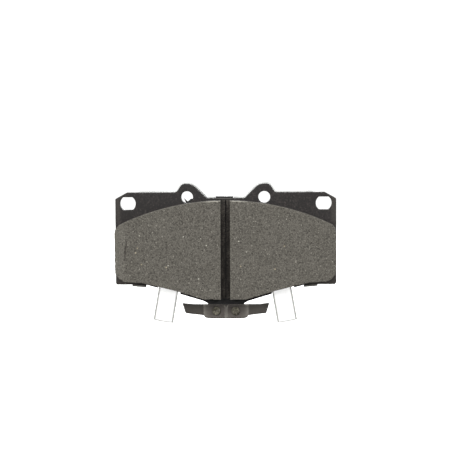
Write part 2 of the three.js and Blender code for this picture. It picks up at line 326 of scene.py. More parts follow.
def plate_mesh(outlines, profile, spacing=None, seed=1):
    """A closed flat solid whose outlines all follow profile; spacing adds points inside its faces."""
    bm = bmesh.new()
    fronts, backs = [], []
    deepest = max(depth for depth, _ in profile)
    for outline in outlines:
        ways = unfolded(outline, [deepest] * len(outline))
        rings = [
            ring(bm, [(p.x + w.x * depth, y, p.y + w.y * depth) for p, w in zip(outline, ways)])
            for depth, y in profile
        ]
        for first, second in zip(rings, rings[1:]):
            bridge(bm, first, second)
        fronts.append(rings[0])
        backs.append(rings[-1])
    for loops, y in ((fronts, profile[0][1]), (backs, profile[-1][1])):
        inner = []
        if spacing:
            grid = scattered([Vector((v.co.x, v.co.z)) for v in loops[0]], spacing, seed)
            for hole in loops[1:]:
                around = inset([Vector((v.co.x, v.co.z)) for v in hole], spacing / 2)
                grid = grid[~inside(grid, around)]
            inner = [bm.verts.new((x, y, z)) for x, z in grid]
        cap(bm, loops, inner, smooth=bool(spacing))
    return bm


def softened(node, radius):
    """A copy of a CAD node with every edge rounded."""
    bm = node_mesh(node)
    bmesh.ops.dissolve_limit(bm, angle_limit=math.radians(1), verts=bm.verts, edges=bm.edges)
    edges = [e for e in bm.edges if e.calc_face_angle(0) > math.radians(30)]
    bmesh.ops.bevel(bm, geom=edges, offset=radius, segments=2, profile=0.5,
                    affect="EDGES", clamp_overlap=True)
    return bm


def piece(name, bm, finish, body, nodes, sharp=40):
    """Turns millimetres of mesh into a named piece that stands for CAD nodes, which it hides; it rides
    on a body given by name, and otherwise keeps its place.
    """
    bmesh.ops.recalc_face_normals(bm, faces=bm.faces)
    bmesh.ops.scale(bm, vec=(MM,) * 3, verts=bm.verts)
    mesh = bpy.data.meshes.new(name)
    bm.to_mesh(mesh)
    bm.free()
    mesh.set_sharp_from_angle(angle=math.radians(sharp))
    mesh.materials.append(finish)
    made = bpy.data.objects.new(name, mesh)
    bpy.context.scene.collection.objects.link(made)
    if isinstance(body, str):
        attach(made, body)
    else:
        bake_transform(made)
    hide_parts(*nodes)
    return made


def smoothstep(start, end, value):
    """Rises smoothly from 0 at start to 1 at end, which may lie below start."""
    t = min(1, max(0, (value - start) / (end - start)))
    return t * t * (3 - 2 * t)


# ---------- materials ----------

def srgb(*channels):
    """A display colour from 0 to 255 as the linear colour that shaders take."""
    linear = [((c / 255 + 0.055) / 1.055) ** 2.4 if c > 10 else c / 255 / 12.92 for c in channels]
    return (*linear, 1)


class Finish:
    """One material: a Principled shader fed by textures that are measured in millimetres."""

    def __init__(self, name, **constants):
        self.material = bpy.data.materials.new(name)
        self.material.use_nodes = True
        self.tree = self.material.node_tree
        self.shader = self.tree.nodes["Principled BSDF"]
        self.set(**constants)
        where = self.tree.nodes.new("ShaderNodeTexCoord")
        self.mm = self.node("ShaderNodeVectorMath", {0: where.outputs["Object"], "Scale": 1 / MM},
                            operation="SCALE").outputs[0]

    def set(self, **constants):
        for socket, value in constants.items():
            self.shader.inputs[socket.replace("_", " ")].default_value = value

    def node(self, kind, inputs, **settings):
        made = self.tree.nodes.new(kind)
        for setting, value in settings.items():
            setattr(made, setting, value)
        for socket, value in inputs.items():
            if isinstance(value, bpy.types.NodeSocket):
                self.tree.links.new(value, made.inputs[socket])
            else:
                made.inputs[socket].default_value = value
        return made

    def feed(self, socket, value):
        self.tree.links.new(value, self.shader.inputs[socket])

    def stretched(self, x, y, z):
        """Places for noise to be streaked along each axis whose factor is low."""
        inputs = {0: self.mm, 1: (x, y, z)}
        return self.node("ShaderNodeVectorMath", inputs, operation="MULTIPLY").outputs[0]

    def noise(self, size, detail=2, vector=None):
        """Smooth noise from 0 to 1 whose blotches are about size millimetres across."""
        inputs = {"Vector": vector or self.mm, "Scale": 1 / size, "Detail": detail}
        return self.node("ShaderNodeTexNoise", inputs).outputs["Fac"]

    def grains(self, size):
        """Scattered cells: the distance from each one's middle, and a random colour for each."""
        made = self.node("ShaderNodeTexVoronoi", {"Vector": self.mm, "Scale": 1 / size})
        return made.outputs["Distance"], made.outputs["Color"]

    def channel(self, colour, number):
        """One of a colour's three numbers."""
        return self.node("ShaderNodeSeparateColor", {0: colour}).outputs[number]

    def ramp(self, value, low, high, to_low=0, to_high=1):
        """Turns the range from low to high smoothly into the range from to_low to to_high."""
        inputs = {"Value": value, "From Min": low, "From Max": high,
                  "To Min": to_low, "To Max": to_high}
        return self.node("ShaderNodeMapRange", inputs, interpolation_type="SMOOTHSTEP").outputs[0]

    def maths(self, operation, first, second):
        return self.node("ShaderNodeMath", {0: first, 1: second}, operation=operation).outputs[0]

    def mix(self, factor, first, second):
        inputs = {"Factor": factor, "A": first, "B": second}
        made = self.tree.nodes.new("ShaderNodeMix")
        made.data_type = "RGBA"
        for name, value in inputs.items():
            socket = next(s for s in made.inputs if s.name == name and s.enabled)
            if isinstance(value, bpy.types.NodeSocket):
                self.tree.links.new(value, socket)
            else:
                socket.default_value = value
        return next(s for s in made.outputs if s.enabled)

    def attribute(self, name):
        """A number that the mesh holds for each vertex."""
        return self.node("ShaderNodeAttribute", {}, attribute_name=name).outputs["Fac"]

    def bump(self, height, depth, strength=1):
        """Relief in millimetres, on top of whatever relief was there before."""
        inputs = {"Height": height, "Distance": depth * MM, "Strength": strength}
        if self.shader.inputs["Normal"].is_linked:
            inputs["Normal"] = self.shader.inputs["Normal"].links[0].from_socket
        self.feed("Normal", self.node("ShaderNodeBump", inputs).outputs[0])


def coated_steel():
    finish = Finish("coated_steel", Specular_IOR_Level=0.15)
    cloud = finish.noise(9, 3)
    grain = finish.noise(0.9, 2)
    tone = finish.mix(finish.ramp(cloud, 0.35, 0.65), srgb(35, 32, 31), srgb(41, 38, 37))
    tone = finish.mix(finish.ramp(grain, 0.34, 0.6), srgb(23, 21, 20), tone)
    tone = finish.mix(finish.ramp(grain, 0.6, 0.72), tone, srgb(58, 54, 52))
    # wear_and_painted_light: rubbed coating at the ears, and painted light at the lower corners and the
    # leaves' notch
    wear_and_painted_light = finish.maths("MULTIPLY", finish.attribute("wear_and_painted_light"), finish.ramp(grain, 0.2, 0.6, 0.6, 1))
    tone = finish.mix(wear_and_painted_light, tone, srgb(62, 58, 54))
    # shade: painted shade round the neck below the friction blocks and in the slot
    finish.feed("Base Color", finish.mix(finish.attribute("shade"), tone, srgb(12, 11, 11)))
    finish.feed("Roughness", finish.ramp(grain, 0.3, 0.7, 0.5, 0.68))
    finish.bump(grain, 0.05, 0.6)
    return finish.material


def friction_material():
    finish = Finish("friction_material", Specular_IOR_Level=0.2)
    ground_and_top_light = finish.attribute("ground_and_top_light")
    cloud = finish.noise(7, 3)
    grit = finish.noise(0.78, 3)
    fibre = finish.noise(0.48, 2)
    tone = finish.mix(finish.ramp(cloud, 0.35, 0.65), srgb(79, 76, 70), srgb(83, 80, 74))
    tone = finish.mix(finish.ramp(grit, 0.32, 0.56), srgb(60, 58, 53), tone)
    tone = finish.mix(finish.ramp(fibre, 0.52, 0.68), tone, srgb(104, 101, 94))
    away, colour = finish.grains(1.05)
    kind = finish.channel(colour, 0)
    size = finish.channel(colour, 1)
    edge = finish.ramp(size, 0, 1, 0.16, 0.42)
    spot = finish.ramp(finish.maths("SUBTRACT", edge, away), 0, 0.08)
    dark = finish.maths("MULTIPLY", spot, finish.maths("LESS_THAN", kind, 0.12))
    pale = finish.maths("MULTIPLY", spot, finish.maths("GREATER_THAN", kind, 0.82))
    bright = finish.maths("MULTIPLY", spot, finish.maths("GREATER_THAN", kind, 0.975))
    brass = finish.maths("MULTIPLY", bright, finish.maths("GREATER_THAN", size, 0.93))
    tone = finish.mix(dark, tone, srgb(48, 46, 42))
    tone = finish.mix(pale, tone, srgb(114, 111, 103))
    tone = finish.mix(bright, tone, srgb(140, 138, 128))
    tone = finish.mix(brass, tone, srgb(124, 116, 98))
    moulded = finish.mix(finish.ramp(grit, 0.3, 0.7), srgb(27, 25, 23), srgb(45, 42, 39))
    moulded = finish.mix(finish.ramp(fibre, 0.55, 0.75), moulded, srgb(64, 61, 56))
    moulded = finish.mix(finish.attribute("shade"), moulded, srgb(13, 12, 11))
    # ground_and_top_light: the ground face's tone, and painted top light on edges facing up
    tone = finish.mix(ground_and_top_light, moulded, tone)
    # painted_highlight: painted highlights along the top edges and on the left chamfer
    tone = finish.mix(finish.attribute("painted_highlight"), tone, srgb(150, 147, 138))
    finish.feed("Base Color", finish.mix(finish.attribute("pit"), tone, srgb(41, 38, 35)))
    finish.feed("Metallic", finish.maths("MULTIPLY", bright, 0.6))
    finish.feed("Roughness", finish.ramp(bright, 0, 1, 0.9, 0.4))
    finish.bump(grit, 0.12)
    finish.bump(away, 0.05)
    return finish.material


def underlayer_material():
    finish = Finish("underlayer_material", Specular_IOR_Level=0.2, Roughness=0.9)
    grit = finish.noise(0.7, 3)
    smear = finish.noise(1, 3, finish.stretched(0.6, 1, 0.12))
    tone = finish.mix(finish.ramp(smear, 0.35, 0.65), srgb(40, 37, 34), srgb(66, 62, 57))
    finish.feed("Base Color", finish.mix(finish.ramp(grit, 0.3, 0.65), srgb(34, 32, 30), tone))
    finish.bump(grit, 0.15)
    return finish.material


def bright_steel():
    finish = Finish("bright_steel", Metallic=1.0)
    brushed = finish.noise(1, 3, finish.stretched(0.15, 8, 8))
    cloud = finish.noise(12, 2)
    tone = finish.mix(finish.ramp(cloud, 0.3, 0.7), srgb(150, 151, 150), srgb(172, 173, 171))
    finish.feed("Base Color", tone)
    finish.feed("Roughness", finish.ramp(brushed, 0.3, 0.7, 0.46, 0.66))
    finish.bump(brushed, 0.01, 0.5)
    return finish.material


def black_coating():
    finish = Finish("black_coating", Metallic=0.0, Specular_IOR_Level=0.2)
    grain = finish.noise(0.4, 3)
    cloud = finish.noise(6, 2)
    tone = finish.mix(finish.ramp(cloud, 0.35, 0.65), srgb(26, 24, 23), srgb(33, 31, 30))
    # wear_and_painted_light: the rubbed lip and the hooks' painted light; shade: painted shade on the
    # lip's top
    tone = finish.mix(finish.attribute("wear_and_painted_light"), tone, srgb(110, 108, 103))
    finish.feed("Base Color", finish.mix(finish.attribute("shade"), tone, srgb(4, 4, 4)))
    finish.feed("Roughness", finish.ramp(grain, 0.3, 0.7, 0.42, 0.6))
    finish.bump(grain, 0.03, 0.6)
    return finish.material


def rubber():
    finish = Finish("rubber", Specular_IOR_Level=0.3)
    away, colour = finish.grains(0.7)
    cloud = finish.noise(10, 3)
    tone = finish.mix(finish.ramp(cloud, 0.35, 0.65), srgb(36, 35, 35), srgb(46, 45, 44))
    bead = finish.ramp(finish.channel(colour, 0), 0.5, 1)
    finish.feed("Base Color", finish.mix(bead, tone, srgb(54, 53, 52)))
    finish.feed("Roughness", finish.ramp(away, 0, 0.6, 0.55, 0.8))
    finish.bump(away, 0.12, 0.8)
    return finish.material


def adhesive():
    finish = Finish("adhesive", Specular_IOR_Level=0.5, Coat_Weight=0.3)
    wrinkle = finish.noise(2.2, 3)
    tone = finish.mix(finish.ramp(wrinkle, 0.3, 0.7), srgb(196, 186, 148), srgb(222, 214, 184))
    finish.feed("Base Color", tone)
    finish.feed("Roughness", finish.ramp(wrinkle, 0.3, 0.7, 0.16, 0.34))
    finish.bump(wrinkle, 0.06)
    return finish.material


def liner_paper():
    finish = Finish("liner_paper", Specular_IOR_Level=0.3, Roughness=0.6)
    finish.set(Subsurface_Weight=0.7, Subsurface_Radius=(1, 1, 1), Subsurface_Scale=0.002)
    fibre = finish.noise(0.5, 4, finish.stretched(1, 1, 0.4))
    cloud = finish.noise(8, 3)
    tone = finish.mix(finish.ramp(cloud, 0.35, 0.65), srgb(236, 236, 232), srgb(243, 243, 240))
    tone = finish.mix(finish.ramp(fibre, 0.6, 0.8), tone, srgb(228, 228, 223))
    # edge: painted shade along the long edges and the free end, and a slightly darker back face
    finish.feed("Base Color", finish.mix(finish.attribute("edge"), tone, srgb(92, 93, 88)))
    finish.bump(fibre, 0.015, 0.5)
    return finish.material


def spring_steel():
    finish = Finish("spring_steel", Metallic=0.85)
    rolled = finish.noise(1, 3, finish.stretched(0.12, 5, 5))
    cloud = finish.noise(3.5, 3)
    tone = finish.mix(finish.ramp(cloud, 0.35, 0.65), srgb(40, 37, 34), srgb(54, 51, 48))
    tone = finish.mix(finish.ramp(rolled, 0.35, 0.7), tone, srgb(62, 58, 55))
    # top_shade: painted shade along the top edge, under the friction blocks
    tone = finish.mix(finish.attribute("top_shade"), tone, srgb(28, 26, 25))
    # rub_and_highlight: painted highlights at the seam and fold, and a slightly lighter wing
    finish.feed("Base Color", finish.mix(finish.attribute("rub_and_highlight"), tone, srgb(112, 109, 103)))
    finish.feed("Roughness", finish.ramp(rolled, 0.3, 0.7, 0.34, 0.52))
    finish.bump(rolled, 0.015, 0.7)
    return finish.material


def rivet_zinc():
    finish = Finish("rivet_zinc", Metallic=0.8)
    patch = finish.noise(1.3, 3)
    fleck = finish.noise(0.6, 2)
    tone = finish.mix(finish.ramp(patch, 0.38, 0.62), srgb(60, 57, 51), srgb(82, 79, 69))
    finish.feed("Base Color", finish.mix(finish.ramp(fleck, 0.6, 0.72), tone, srgb(126, 121, 102)))
    finish.feed("Roughness", finish.ramp(patch, 0.3, 0.7, 0.4, 0.65))
    finish.bump(patch, 0.12)
    return finish.material


# ---------- backing plate ----------

PLATE_FRONT_ROUND = 0.28
PLATE_BACK_ROUND = 0.12
PLATE_SPACING = 0.9
EAR_WEAR = 0.5
EAR_WEAR_WIDTH = 3.4
EAR_WEAR_FADE = 1.4
EAR_WEAR_BOTTOM = -16
CORNER_PAINTED_LIGHT = 0.7
CORNER_START = Vector((42, -36))
CORNER_FULL = Vector((46, -40))
NECK_SHADE_TOP = -50.5
SLOT_SHADE = 0.65
SLOT_SHADE_DROP = 14


def ear_wear(vert, end):
    """How far the coating is rubbed off just inside the end of an ear."""
    from_end = end - abs(vert.co.x)
    inner_side = smoothstep(EAR_WEAR_WIDTH, EAR_WEAR_WIDTH - EAR_WEAR_FADE, from_end)
    above = smoothstep(EAR_WEAR_BOTTOM, EAR_WEAR_BOTTOM / 2, vert.co.z)
    return inner_side * smoothstep(0.1, 0.5, from_end) * above * EAR_WEAR


def corner_painted_light(vert):
    """Painted light on the face's two lower outer corners, which the friction blocks shade: how much it
    lightens them.
    """
    outer = smoothstep(CORNER_START.x, CORNER_FULL.x, abs(vert.co.x))
    return CORNER_PAINTED_LIGHT * outer * smoothstep(CORNER_START.y, CORNER_FULL.y, vert.co.z)


def slot_shade(vert, top):
    """How dark painted shade makes the plate in the slot, most of all near the slot's top."""
    between_blocks = SLOT_SHADE * smoothstep(SLOT_SIDE + 0.6, SLOT_SIDE - 0.6, abs(vert.co.x))
    below_top = smoothstep(top, top - 0.8, vert.co.z)
    return between_blocks * below_top * smoothstep(top - SLOT_SHADE_DROP, top - 2, vert.co.z)


def backing_plate(finish):
    """The steel plate, its coating rubbed at the ears, lightened by painted light at its lower corners
    and in the leaves' notch, and darkened by painted shade round the neck and in the slot.
    """
    low, high = box_mm("backing_plate")
    _, leaf_high = box_mm("wear_leaf_left")
    _, friction_high = box_mm("friction_block_left")
    outlines = [refined(outline) for outline in face_outlines("backing_plate", high.y)]
    profile = fillet(low.y, high.y, PLATE_FRONT_ROUND, PLATE_BACK_ROUND)
    bm = plate_mesh(outlines, profile, PLATE_SPACING, seed=5)
    wear_and_painted_light = bm.verts.layers.float.new("wear_and_painted_light")
    shade = bm.verts.layers.float.new("shade")
    for vert in bm.verts:
        vert[wear_and_painted_light] = ear_wear(vert, high.x)
        if vert.co.y < low.y / 2:
            # painted light in the notch where the leaves' edges show; it also lifts the painted shade
            # there
            leaf_notch_light = smoothstep(leaf_high.z + 0.2, leaf_high.z - 0.6, vert.co.z)
            vert[wear_and_painted_light] = max(vert[wear_and_painted_light], corner_painted_light(vert), leaf_notch_light)
            # painted shade on the neck below the friction blocks, and in the slot
            neck = smoothstep(NECK_SHADE_TOP, NECK_SHADE_TOP - 1.5, vert.co.z) * (1 - leaf_notch_light)
            vert[shade] = max(neck, slot_shade(vert, friction_high.z))
    piece("plate", bm, finish, "pad", ["backing_plate"])


# ---------- friction blocks ----------

GRIT_SPACING = 0.5
BLOCK_EDGE_ROUND = 0.25
EDGE_STEPS = 3
EDGE_MARGIN = 0.4
WALL_STEPS = 6
WALL_GRAIN = 0.04
CHIP_DEPTH = 0.4
PIT_DEPTH = 0.16
FACE_GRAIN = 0.02
CHAMFER_LENGTH = 6.3
CHAMFER_DROP = 0.5
CHAMFER_PAINTED_LIGHT = 0.07
END_ROUGHNESS = 0.26
CREASE_DEPTH = 0.16
CREASE_HALF_WIDTH = 0.38
CREASE_OFFSET = -0.1
CREASE_TOP = 16
CREASE_BOTTOM = 32
CREASE_LEAN = 0.09
GLINT = 0.8
GLINT_REACH = 14


def crease(x, z, end):
    """How deep the shallow tool mark near the left chamfer is at a point of the friction face."""
    wander = 0.25 * noise.noise(Vector((0, z / 4, 3)))
    lean = CREASE_LEAN * (z + (CREASE_TOP + CREASE_BOTTOM) / 2)
    beside = (x - (end + CHAMFER_LENGTH + CREASE_OFFSET + lean + wander)) / CREASE_HALF_WIDTH
    upper = smoothstep(CREASE_TOP, CREASE_TOP + 9, -z)
    lower = smoothstep(CREASE_BOTTOM, CREASE_BOTTOM - 3, -z)
    return CREASE_DEPTH * (upper * lower) * math.exp(-beside * beside)


def chips_along(outline, side):
    """How deep the edge of the friction face is chipped at each point, except beside the slot."""
    depths = []
    for point in outline:
        chip = smoothstep(0.12, 0.6, noise.noise(Vector((point.x / 1.3, side * 4, point.y / 1.3))))
        patch = smoothstep(-0.35, 0.3, noise.noise(Vector((point.x / 6, 7, point.y / 6))))
        depths.append(CHIP_DEPTH * chip * patch * smoothstep(SLOT_SIDE, SLOT_SIDE + 1, abs(point.x)))
    return depths


def roughness_along(outline, side, reach):
    """How far the rough wall at the pad's end lies inside the outline at each point."""
    depths = []
    for point in outline:
        rough = smoothstep(-0.1, 0.5, noise.noise(Vector((side * 9, point.x / 3, point.y / 1.5))))
        depths.append(END_ROUGHNESS * rough * smoothstep(reach - 3, reach - 1, abs(point.x)))
    return depths


def chamfer_drop(x, reach):
    """How far the end chamfer lies below the face."""
    return max(0, abs(x) - (reach - CHAMFER_LENGTH)) * CHAMFER_DROP / CHAMFER_LENGTH


def block_walls(bm, outline, ways, roughness, back, front):
    """Rings of the walls, from the block's back towards its face, rougher towards the face."""
    rings = []
    for k in range(WALL_STEPS):
        y = back - (back - front) * k / WALL_STEPS
        points = []
        for point, way, rough in zip(outline, ways, roughness):
            grain = WALL_GRAIN * (1 + noise.noise(Vector((point.x, y, point.y))))
            moved_in = grain + rough * k / (WALL_STEPS - 1) if k else 0
            points.append((point.x + way.x * moved_in, y, point.y + way.y * moved_in))
        rings.append(ring(bm, points))
    return rings


def block_edges(bm, outline, ways, chips, roughness, front, reach):
    """Rings that round the chipped edge over to the face, each with how far round it is, 0 to 1."""
    pairs = []
    for k in range(EDGE_STEPS + 1):
        angle = math.pi / 2 * k / EDGE_STEPS
        step_in = BLOCK_EDGE_ROUND * (1 - math.cos(angle))
        below = BLOCK_EDGE_ROUND * (1 - math.sin(angle))
        share = 1 - below / BLOCK_EDGE_ROUND
        points = []
        for point, way, chip, rough in zip(outline, ways, chips, roughness):
            moved_in = step_in + WALL_GRAIN + rough + chip * (0.4 + 0.6 * share)
            y = front + chamfer_drop(point.x, reach) + below + chip * (1 - share) * 0.8
            points.append((point.x + way.x * moved_in, y, point.y + way.y * moved_in))
        pairs.append((ring(bm, points), share))
    return pairs


def friction_block(name, side, finish):
    """A moulded block whose face is pitted, chipped at its edge and chamfered at its end, with painted
    highlights on its upward-facing edges and its left chamfer, and painted shade on its slot walls.
    """
    node = f"friction_block_{name}"
    low, high = box_mm(node)
    end = low.x if side < 0 else high.x
    reach = abs(end)
    outline = refined(face_outlines(node, high.y)[0], GRIT_SPACING)
    chips = chips_along(outline, side)
    roughness = roughness_along(outline, side, reach)
    ways = unfolded(outline, [BLOCK_EDGE_ROUND + EDGE_MARGIN + chip for chip in chips])

    bm = bmesh.new()
    ground_and_top_light = bm.verts.layers.float.new("ground_and_top_light")
    pit = bm.verts.layers.float.new("pit")
    painted_highlight = bm.verts.layers.float.new("painted_highlight")
    shade = bm.verts.layers.float.new("shade")
    rings = block_walls(bm, outline, ways, roughness, high.y, low.y)
    for loop, share in block_edges(bm, outline, ways, chips, roughness, low.y, reach):
        for vert, way in zip(loop, ways):
            # edges that face up take the face's tone and a painted highlight, as if lit from above
            facing_up = smoothstep(-0.3, -0.8, way.y)
            near_slot = smoothstep(GLINT_REACH, GLINT_REACH / 2, abs(vert.co.x))
            vert[ground_and_top_light] = max(0.35 + 0.65 * share, facing_up)
            vert[painted_highlight] = facing_up * share * near_slot * GLINT
        rings.append(loop)
    for loop in rings:
        for vert in loop:
            vert[shade] = 1 if abs(vert.co.x) < SLOT_SIDE else 0
    for first, second in zip(rings, rings[1:]):
        bridge(bm, first, second)

    rim = [Vector((v.co.x, v.co.z)) for v in rings[-1]]
    inner = []
    for x, z in scattered(rim, GRIT_SPACING, seed=11 + side):
        hollow = smoothstep(0.2, 0.5, noise.noise(Vector((x / 1.1, 7 * side, z / 1.1))))
        mark = crease(x, z, end) if side < 0 else 0
        grain = FACE_GRAIN * (1 + noise.noise(Vector((x / 0.6, 3, z / 0.6))))
        y = low.y + chamfer_drop(x, reach) + grain + PIT_DEPTH * hollow + mark
        vert = bm.verts.new((x, y, z))
        vert[ground_and_top_light] = 1
        vert[pit] = 0.45 * hollow + 0.9 * mark / CREASE_DEPTH
        # painted light on the left end's chamfer
        if side < 0:
            vert[painted_highlight] = CHAMFER_PAINTED_LIGHT * smoothstep(0, 1.5, end + CHAMFER_LENGTH - x)
        inner.append(vert)
    cap(bm, [rings[-1]], inner, smooth=True)
    cap(bm, [rings[0]])
    piece(f"friction_lining_{name}", bm, finish, "pad", [node], sharp=60)


# ---------- wear leaves ----------

BEND_RADIUS = 1.6
WING_RISE = math.radians(22)
WING_CROWN = 0.25
LEAF_SPACING = 0.7
LEAF_ROUND = 0.24
LEAF_CORNER = 2.9
LEAF_CUP = 0.22
RIVET_HOLE = 1.6
HOLE_SIDES = 32
# painted highlights at the seam and the fold
SEAM_HIGHLIGHT = 0.7
SEAM_WIDTH = 0.4
FOLD_HIGHLIGHT = 0.5
WING_RUB = 0.16
# painted shade along the leaf's top, under the friction blocks
TOP_SHADE = 0.45
TOP_SHADE_REACH = 2.6
BLEND_BEFORE = 0.5
BLEND_AFTER = 0.7


def inner_edge_distance(across, below):
    """How far a point of the leaf is from its inner edge, which ends in a rounded corner at the top."""
    if across > LEAF_CORNER or below > LEAF_CORNER:
        return across
    return LEAF_CORNER - math.hypot(LEAF_CORNER - across, LEAF_CORNER - below)


def bend_leaf(vert, side, bend, middle):
    """Bends the flat leaf towards the disc where the wing leaves its root."""
    start = bend - BEND_RADIUS * math.tan(WING_RISE / 2)
    along, off = abs(vert.co.x), middle - vert.co.y
    angle = min(WING_RISE, max(0, (along - start) / BEND_RADIUS))
    run = min(along, start) + (BEND_RADIUS - off) * math.sin(angle)
    rise = BEND_RADIUS - (BEND_RADIUS - off) * math.cos(angle)
    past = max(0, along - start - BEND_RADIUS * WING_RISE)
    vert.co.x = side * (run + past * math.cos(WING_RISE))
    vert.co.y = middle - rise - past * math.sin(WING_RISE)


def leaf_outline(name, side, bend):
    """The flat leaf: a root from the pad's middle to the bend, and the wing that leaves it there."""
    root_low, root_high = box_mm(f"wear_leaf_{name}")
    wing_low, wing_high = box_mm(f"wear_wing_{name}")
    reach = (max(abs(wing_low.x), abs(wing_high.x)) - bend) / math.cos(WING_RISE) + bend
    corners = [
        (0, root_high.z, LEAF_CORNER),
        (0, root_low.z, 0),
        (bend - 2.6, root_low.z, 9),
        (bend - 0.5, root_low.z + 0.7, 1.4),
        (bend - 0.1, root_low.z + 1.75, 0),
        (reach - 2.1, wing_low.z + 1.7, 0.9),
        (reach, wing_high.z + 0.2, 0.5),
        ((reach + bend) / 2, root_high.z + WING_CROWN, 5),
        (bend - 0.4, root_high.z, 0.5),
    ]
    outline = rounded([(side * x, z, radius) for x, z, radius in corners])
    if side < 0:
        outline.reverse()
    return refined(outline, LEAF_SPACING)


def circle(x, z, radius):
    """A clockwise circle, as the outline of a hole."""
    turns = [2 * math.pi * k / HOLE_SIDES for k in range(HOLE_SIDES)]
    return [Vector((x + radius * math.cos(a), z + radius * math.sin(a))) for a in reversed(turns)]


def wear_leaf(name, side, finish):
    """A cupped spring leaf with its wing, with painted highlights at its seam and fold, a slightly
    lighter wing, and painted shade along its top.
    """
    joint = JOINTS[f"wing_flex_{name}"]
    bend = abs(joint["pos_m"][0]) / MM
    low, high = box_mm(f"wear_leaf_{name}")
    rivet_low, rivet_high = box_mm(f"rivet_{name}")
    hole = circle((rivet_low.x + rivet_high.x) / 2, (rivet_low.z + rivet_high.z) / 2, RIVET_HOLE)
    profile = fillet(low.y, high.y, LEAF_ROUND, LEAF_ROUND, steps=3)
    bm = plate_mesh([leaf_outline(name, side, bend), hole], profile, LEAF_SPACING, seed=21)
    top_shade = bm.verts.layers.float.new("top_shade")
    rub_and_highlight = bm.verts.layers.float.new("rub_and_highlight")
    middle = (low.z + high.z) / 2
    half = (high.z - low.z) / 2
    for vert in bm.verts:
        below_top = high.z - vert.co.z
        past_bend = abs(vert.co.x) - bend
        from_seam = inner_edge_distance(abs(vert.co.x), below_top) / SEAM_WIDTH
        seam = math.exp(-from_seam ** 2) * smoothstep(0.2, 1.6, below_top)
        fold = math.exp(-abs(past_bend) / (0.35 if past_bend > 0 else 1.5))
        wing = WING_RUB * smoothstep(0, 0.6, past_bend)
        # painted highlights at the seam and fold; the wing slightly lighter throughout
        vert[rub_and_highlight] = max(FOLD_HIGHLIGHT * fold, SEAM_HIGHLIGHT * seam, wing)
        # painted shade along the top, where the friction blocks overhang
        vert[top_shade] = TOP_SHADE * smoothstep(TOP_SHADE_REACH, 0, below_top) * (1 - vert[rub_and_highlight])
        vert.co.y -= LEAF_CUP * ((vert.co.z - middle) / half) ** 2
        bend_leaf(vert, side, bend, (low.y + high.y) / 2)
    across = Vector((side, 0, 0)) * MM
    hinge = Vector(joint["pos_m"])
    body = ("pad", f"wing_{name}", hinge - across * BLEND_BEFORE, hinge + across * BLEND_AFTER)
    piece(f"leaf_spring_{name}", bm, finish, body,
          [f"wear_leaf_{name}", f"wear_wing_{name}"])


# ---------- rivets ----------

RIVET_SHANK = 1.5
RIVET_SIDES = 40
BEATEN_EDGE = 0.04
BEATEN_FACE = 0.26


def rivet_profile(low, high, leaf_front, head):
    """(share of the head's radius, y) pairs from the dimpled head to the one formed behind."""
    dome = leaf_front - low.y
    shank = RIVET_SHANK / head
    # shares of the head's radius, and of how far that head stands out
    front = [(0.30, 0.42), (0.62, 0.2), (0.78, 0.02), (0.90, 0.12), (0.985, 0.4), (1.0, 0.7)]
    back = [(0.98, 0), (1.0, 0.3), (0.94, 0.7), (0.72, 1), (0.36, 0.92)]
    return (
        [(share, low.y + up * dome) for share, up in front]
        + [(0.97, leaf_front), (shank, leaf_front), (shank, 0)]
        + [(share, up * high.y) for share, up in back]
    )


def rivet(name, finish):
    """A rivet whose two heads are uneven from the hammer that formed them."""
    low, high = box_mm(f"rivet_{name}")
    centre = (low + high) / 2
    head = (high.x - low.x) / 2
    leaf_low, _ = box_mm(f"wear_leaf_{name}")
    bm = bmesh.new()
    rings = []
    for share, y in rivet_profile(low, high, leaf_low.y, head):
        points = []
        for i in range(RIVET_SIDES):
            angle = 2 * math.pi * i / RIVET_SIDES
            x, z = head * share * math.cos(angle), head * share * math.sin(angle)
            between_heads = leaf_low.y <= y <= 0
            beaten = 0 if between_heads else noise.noise(Vector((x * 0.9 + centre.x, y, z * 0.9)))
            wider = 1 + BEATEN_EDGE * beaten
            deeper = BEATEN_FACE * beaten * (y < leaf_low.y - 0.2)
            points.append((centre.x + x * wider, y + deeper, centre.z + z * wider))
        rings.append(ring(bm, points))
    for first, second in zip(rings, rings[1:]):
        bridge(bm, first, second)
    dimple = low.y + 0.5 * (leaf_low.y - low.y)
    for loop, y in ((rings[0], dimple), (rings[-1], high.y * 0.88)):
        middle = bm.verts.new((centre.x, y, centre.z))
        for start, end in zip(loop, loop[1:] + loop[:1]):
            bm.faces.new((middle, start, end)).smooth = True
    piece(f"rivet_formed_{name}", bm, finish, "pad", [f"rivet_{name}"])


# ---------- release liners with their pull tabs ----------

EDGE_CURL = 0.3
CURL_WIDTH = 0.8
EDGE_SHADE = 1.3
END_SHADE = 0.85
BACK_TONE = 0.1
END_BOW = 0.5
END_BOW_LENGTH = 6
TAB_SWEEP = 0.5
LINER_COLUMNS = 64
CLOSE_STEP = 0.25
WIDE_STEP = 1.2
FOLD_MARGIN = 4
TAB_BLEND = 1.2


def strip_frame(name):
    """The strip's own directions: along it, away from its free end, and across it."""
    across = Vector(JOINTS[f"tab_fold_{name}"]["axis"]).normalized()
    along = Vector((-across.z, 0, across.x))
    return along, across


def liner_stations(first, last, fold):
    """Distances along the strip, close together on the tab and over its fold, and wide beyond."""
    tab = [first + CLOSE_STEP * k for k in range(int((fold - FOLD_MARGIN - first) / CLOSE_STEP) + 1)]
    over_fold = [fold - FOLD_MARGIN + CLOSE_STEP * k for k in range(1, 31)]
    beyond = [fold + FOLD_MARGIN + 0.5 + WIDE_STEP * k for k in range(60)]
    return tab + over_fold + [s for s in beyond if s < last - WIDE_STEP / 4] + [last]


